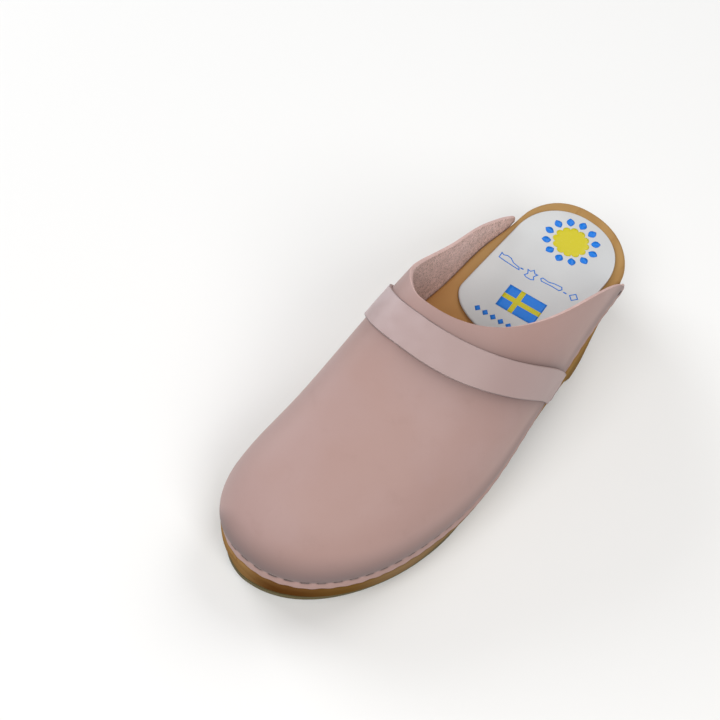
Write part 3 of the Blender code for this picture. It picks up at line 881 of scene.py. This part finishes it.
def pad_top(side, position):
    """Height of the pad's upper face."""
    wood_half = SIZE["half_width"](position) * end_share(position)
    share = np.clip((side - SIZE["middle"](position)) / np.maximum(wood_half - WOOD_EDGE, 1), -1, 1)
    return SIZE["seat"](position) - footbed_drop(position, share) + GAP + PAD_THICK


span = PAD_FRONT - PAD_BACK
along = PAD_BACK + span * (1 - np.cos(np.linspace(0, np.pi, PAD_STATIONS + 1))) / 2
back = round_end(along - PAD_BACK, PAD_ROUND_BACK - PAD_BACK, PAD_POWER)
front = round_end(PAD_FRONT - along, PAD_FRONT - PAD_ROUND_FRONT, PAD_POWER)
half = PAD_HALF * back * front
widest = np.argmax(half)
rows, thickness = [], []
for share in np.cos(np.linspace(0, np.pi, PAD_COLUMNS + 1)):
    offset = np.abs(share) * half
    from_back = along - np.interp(offset, half[: widest + 1], along[: widest + 1])
    from_front = np.interp(offset, half[:widest:-1], along[:widest:-1]) - along
    from_end = np.maximum(np.minimum(from_back, from_front), 0)
    from_side = half - offset
    from_rim = from_side * from_end / np.maximum(np.hypot(from_side, from_end), NO_LENGTH)
    drop = PAD_RIM * (1 - np.sqrt(1 - np.clip(1 - from_rim / PAD_RIM, 0, 1) ** 2))
    across = PAD_MIDDLE + PAD_LEAN * along + share * half
    rows.append(np.stack([across, along, pad_top(across, along) - drop], 1))
    thickness.append(1 - drop / PAD_THICK)
mesh = bmesh.new()
grid_through(mesh, np.stack(rows, 1), np.stack(thickness, 1))
close_up(mesh)
if sum(face.normal.z for face in mesh.faces) < 0:
    bmesh.ops.reverse_faces(mesh, faces=mesh.faces)
pad = new_piece("clog_heel_pad", mesh, coating)
pad.vertex_groups.new(name="thickness")
body = pad.modifiers.new("thickness", "SOLIDIFY")
body.thickness = PAD_THICK * MM
body.offset = -1
body.vertex_group = "thickness"
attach(pad, "root")
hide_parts("heel_pad")

# Print on the pad: a thin film of blue and yellow ink, screen-printed on the coating. It shows a folk
# flower, outline signs for the materials, a flag and a row of lozenges.
BLUE, YELLOW = 0, 1
PRINT_SIDE, PRINT_POSITION, PRINT_TURN = -3.0, 55.0, 6.3
PRINT_PROUD, PRINT_CELL, PRINT_SPLITS, PRINT_WELD = 0.07, 2.5, 4, 0.001
FLOWER, PETALS, FLOWER_INNER, FLOWER_OUTER = (-1.5, 24.4), 12, 8.0, 9.6
PETAL_POINTS, PETAL_POWER = 16, 0.6
LEAF_START, LEAF_LONG, LEAF_WIDE, LEAF_POINTS, LEAF_POWER = 10.2, 5.0, 4.2, 9, 0.8
SHOE = (
    (-5.4, -1.6), (-5.6, 1.8), (-4.2, 1.2), (-2.6, 2.0),
    (-0.6, 1.9), (1.4, 0.5), (4.6, 0.0), (5.4, -1.6),
)
HIDE = (
    (-1.2, -3), (-2.6, -2.2), (-1.7, -0.6), (-2.8, 1.6), (-1.2, 1.4), (0, 3),
    (1.2, 1.4), (2.8, 1.6), (1.7, -0.6), (2.6, -2.2), (1.2, -3),
)
SOLE = (
    (-5.4, 0.4), (-4.8, 1.6), (-1.6, 1.2), (1.2, 2.0), (4.6, 2.2),
    (5.4, 0.8), (4.4, -0.6), (0.4, -0.4), (-4.4, -0.8),
)
DIAMOND = ((-2.2, 0), (0, 2.4), (2.2, 0), (0, -2.4))
DASH = ((-0.9, -0.35), (-0.9, 0.35), (0.9, 0.35), (0.9, -0.35))
SIGNS_POSITION, SIGN_SIZE, SIGN_STROKE = 55.4, 1.15, 0.5
SIGNS, DASHES = ((SHOE, -19.6), (HIDE, -7.4), (SOLE, 3.7), (DIAMOND, 16.6)), (-12.9, 11.8)
FLAG, FLAG_WIDE, FLAG_LONG = (-2.0, 74.7), 21.1, 14.7
FLAG_ACROSS, FLAG_DOWN = (0, 5 / 16, 7 / 16, 1), (0, 0.4, 0.6, 1)
LOZENGE = ((-1.7, 0), (0, 1.9), (1.7, 0), (0, -1.9))
LOZENGES, LOZENGE_SIDE, LOZENGE_PITCH, LOZENGE_POSITION = 7, -18.4, 4.4, 89.2


def ink(name, full, thin):
    """Printing ink: slightly uneven where the coating shows through."""
    finish = Finish(name, {"Specular IOR Level": 0.3})
    cover = finish.noise(700.0, 3.0)
    finish.surface(
        colour=finish.mix(finish.step(cover, 0.5, 0.8) * 0.5, full, thin),
        roughness=cover * 0.1 + 0.34,
    )
    return finish


blue_ink = ink("print_blue", (0.006, 0.175, 0.68), (0.02, 0.21, 0.70))
yellow_ink = ink("print_yellow", (0.55, 0.48, 0.008), (0.58, 0.52, 0.04))


def figure(mesh, points, middle, ink_slot, stroke=0.0):
    """Adds a flat figure, given by its outline about the middle in millimetres: filled, or as a stroke."""
    corners = [mesh.verts.new((middle[0] + x, middle[1] - y, 0.0)) for x, y in points]
    face = mesh.faces.new(corners)
    face.material_index = ink_slot
    face.normal_update()
    if stroke:
        bmesh.ops.inset_region(mesh, faces=[face], thickness=stroke, use_boundary=True, use_even_offset=True)
        bmesh.ops.delete(mesh, geom=[face], context="FACES")


def petals(count, inner, outer):
    """Outline of a flower with round petals."""
    angles = np.linspace(0, 2 * np.pi, PETAL_POINTS * count, endpoint=False)
    reach = inner + (outer - inner) * np.abs(np.sin(count * angles / 2)) ** PETAL_POWER
    return [(r * math.cos(a), r * math.sin(a)) for r, a in zip(reach, angles)]


def leaf(length, width):
    """Outline of a pointed leaf from the origin along x."""
    shares = np.linspace(0, 1, LEAF_POINTS)
    upper_side = [(length * s, width / 2 * math.sin(math.pi * s) ** LEAF_POWER) for s in shares]
    lower_side = [(across, -up) for across, up in upper_side[-2:0:-1]]
    return upper_side + lower_side


def turned(points, degrees):
    """Points turned about the origin."""
    c, s = math.cos(math.radians(degrees)), math.sin(math.radians(degrees))
    return [(x * c - y * s, x * s + y * c) for x, y in points]


mesh = bmesh.new()
figure(mesh, petals(PETALS, FLOWER_INNER, FLOWER_OUTER), FLOWER, YELLOW)
for count in range(PETALS):
    angle = count * 360 / PETALS
    reach = turned([(LEAF_START, 0.0)], angle)[0]
    spot = (FLOWER[0] + reach[0], FLOWER[1] - reach[1])
    figure(mesh, turned(leaf(LEAF_LONG, LEAF_WIDE), angle), spot, BLUE)
for outline, across in SIGNS:
    points = [(x * SIGN_SIZE, y * SIGN_SIZE) for x, y in outline]
    figure(mesh, points, (across, SIGNS_POSITION), BLUE, SIGN_STROKE)
for across in DASHES:
    figure(mesh, DASH, (across, SIGNS_POSITION), BLUE)
for column in range(3):
    for row in range(3):
        west, east = ((share - 0.5) * FLAG_WIDE for share in FLAG_ACROSS[column : column + 2])
        south, north = ((share - 0.5) * FLAG_LONG for share in FLAG_DOWN[row : row + 2])
        cross = YELLOW if 1 in (column, row) else BLUE
        figure(mesh, ((west, south), (west, north), (east, north), (east, south)), FLAG, cross)
for count in range(LOZENGES):
    figure(mesh, LOZENGE, (LOZENGE_SIDE + LOZENGE_PITCH * count, LOZENGE_POSITION), BLUE)
bmesh.ops.remove_doubles(mesh, verts=mesh.verts, dist=PRINT_WELD)
bmesh.ops.triangulate(mesh, faces=[face for face in mesh.faces if len(face.verts) > 4])
for _ in range(PRINT_SPLITS):
    long_edges = [edge for edge in mesh.edges if edge.calc_length() > PRINT_CELL]
    bmesh.ops.subdivide_edges(mesh, edges=long_edges, cuts=1)
    bmesh.ops.triangulate(mesh, faces=[face for face in mesh.faces if len(face.verts) > 4])
c, s = math.cos(math.radians(PRINT_TURN)), math.sin(math.radians(PRINT_TURN))
for vertex in mesh.verts:
    east, south = vertex.co.x - PRINT_SIDE, vertex.co.y - PRINT_POSITION
    side = PRINT_SIDE + east * c + south * s
    position = PRINT_POSITION + south * c - east * s
    height = pad_top(np.array(side), np.array(position)) + PRINT_PROUD
    vertex.co = side * MM, (LENGTH / 2 - position) * MM, height * MM
bmesh.ops.recalc_face_normals(mesh, faces=mesh.faces)
for face in mesh.faces:
    if face.normal.z < 0:
        face.normal_flip()
pad_print = new_piece("clog_pad_print", mesh, blue_ink, yellow_ink)
film = pad_print.modifiers.new("ink_film", "SOLIDIFY")
film.thickness = PRINT_PROUD * MM / 2
film.offset = -1
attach(pad_print, "root")

# Stage: a plain pale floor, four broad soft lights of nearly equal power round the shoe, and a little light
# from all round.
FLOOR_SIZE, FLOOR_TONE = 6.0, (0.84, 0.84, 0.84, 1.0)
LIGHT_SIZE, LIGHT_AIM, ROOM_STRENGTH = 1.0, (0.0, 0.0, 0.05), 0.17
DAYLIGHT, LAMPLIGHT = (0.96, 0.98, 1.0), (1.0, 0.99, 0.97)

floor_finish = Finish("pale_floor", {"Base Color": FLOOR_TONE, "Roughness": 0.9, "Specular IOR Level": 0.1})
mesh = bmesh.new()
bmesh.ops.create_grid(mesh, x_segments=1, y_segments=1, size=FLOOR_SIZE / 2)
floor = new_piece("floor", mesh, floor_finish)


def soft_light(name, place, power, colour):
    """Square area light, aimed at the middle of the shoe."""
    lamp = bpy.data.lights.new(name, "AREA")
    lamp.shape = "SQUARE"
    lamp.size = LIGHT_SIZE
    lamp.energy = power
    lamp.color = colour
    light = bpy.data.objects.new(name, lamp)
    light.location = place
    aim = Vector(LIGHT_AIM) - light.location
    light.rotation_euler = aim.to_track_quat("-Z", "Y").to_euler()
    bpy.context.scene.collection.objects.link(light)


soft_light("window_light", (-1.54, 0.0, 0.87), 14.5, DAYLIGHT)
soft_light("front_light", (0.0, -1.12, 1.39), 12.8, LAMPLIGHT)
soft_light("room_light", (1.12, -0.62, 1.22), 13.8, LAMPLIGHT)
soft_light("back_light", (0.1, 1.12, 1.39), 11.0, LAMPLIGHT)
world = bpy.data.worlds.new("soft_room")
world.use_nodes = True
background = world.node_tree.nodes["Background"]
background.inputs["Color"].default_value = (1.0, 1.0, 1.0, 1.0)
background.inputs["Strength"].default_value = ROOM_STRENGTH
bpy.context.scene.world = world
bpy.context.scene.view_settings.view_transform = "Standard"

# Camera: high in front of the toe on the outer side, tilted a little, as the clog is seen in the photo.
AZIMUTH, ELEVATION, ROLL = math.radians(32.19), math.radians(55.22), math.radians(-10.22)
CAMERA_PLACE, LENS, SENSOR, CLIP_START = (0.13113, -0.29027, 0.49413), 58.84, 36.0, 0.01
right = Vector((math.cos(AZIMUTH), math.sin(AZIMUTH), 0.0))
back = Vector((
    math.sin(AZIMUTH) * math.cos(ELEVATION),
    -math.cos(AZIMUTH) * math.cos(ELEVATION),
    math.sin(ELEVATION),
))
up = back.cross(right)
turned_right = right * math.cos(ROLL) - up * math.sin(ROLL)
turned_up = right * math.sin(ROLL) + up * math.cos(ROLL)
camera = bpy.data.objects.new("camera", bpy.data.cameras.new("camera"))
camera.data.lens = LENS
camera.data.sensor_width = SENSOR
camera.data.clip_start = CLIP_START
turning = Matrix((turned_right, turned_up, back)).transposed().to_4x4()
camera.matrix_world = Matrix.Translation(CAMERA_PLACE) @ turning
bpy.context.scene.collection.objects.link(camera)
bpy.context.scene.camera = camera
